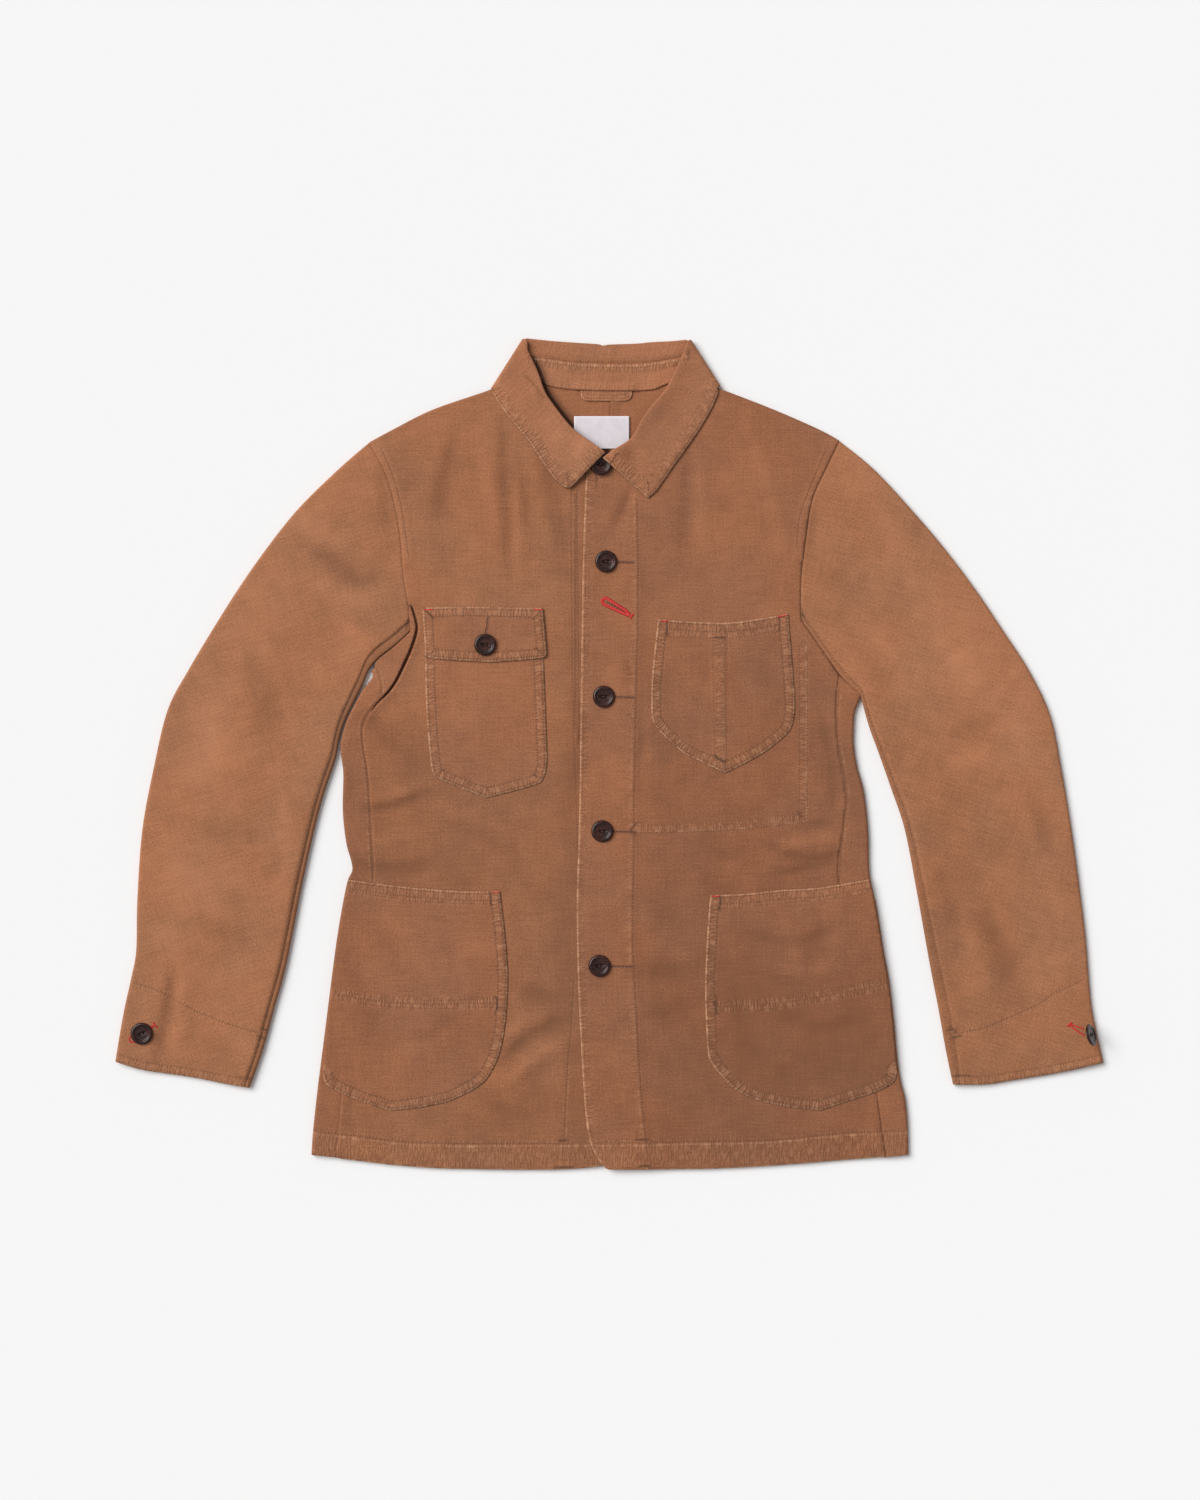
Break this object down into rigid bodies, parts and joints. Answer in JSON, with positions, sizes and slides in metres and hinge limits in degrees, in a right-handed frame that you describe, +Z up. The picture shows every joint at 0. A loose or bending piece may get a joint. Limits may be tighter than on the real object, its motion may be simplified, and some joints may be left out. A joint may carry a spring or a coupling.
{
  "type": "chore jacket",
  "caption": "Hip-length washed canvas chore jacket laid flat, with a turned-down collar, buttoned front, flapped chest pocket, shield-shaped pocket and large lower patch pockets.",
  "frame": {"origin": "on the surface that the jacket lies on, under the middle of its bounding box", "axes": "+Z up from the surface, +Y towards the collar, +X towards the wearer's left sleeve"},
  "size_m": [0.897, 0.7546, 0.0241],
  "materials": {
    "canvas": "washed cotton canvas, matt",
    "canvas_inside": "washed cotton canvas, matt",
    "label_tape": "woven tape",
    "horn": "polished"
  },
  "bodies": {
    "root": {"back_right": "canvas_inside", "back_left": "canvas_inside", "front_right": "canvas", "front_left": "canvas", "sleeve_right_top": "canvas", "sleeve_right_under": "canvas_inside", "sleeve_left_top": "canvas", "sleeve_left_under": "canvas_inside", "collar_leaf": "canvas", "collar_stand": "canvas", "hanger_loop": "canvas", "neck_label": "label_tape", "chest_flap": "canvas", "chest_pocket": "canvas", "shield_pocket": "canvas", "lower_pocket_right": "canvas", "lower_pocket_left": "canvas", "button_neck": "horn", "button_front_1": "horn", "button_front_2": "horn", "button_front_3": "horn", "button_front_4": "horn", "button_flap": "horn", "button_cuff_right": "horn", "button_cuff_left": "horn"}
  },
  "joints": []
}
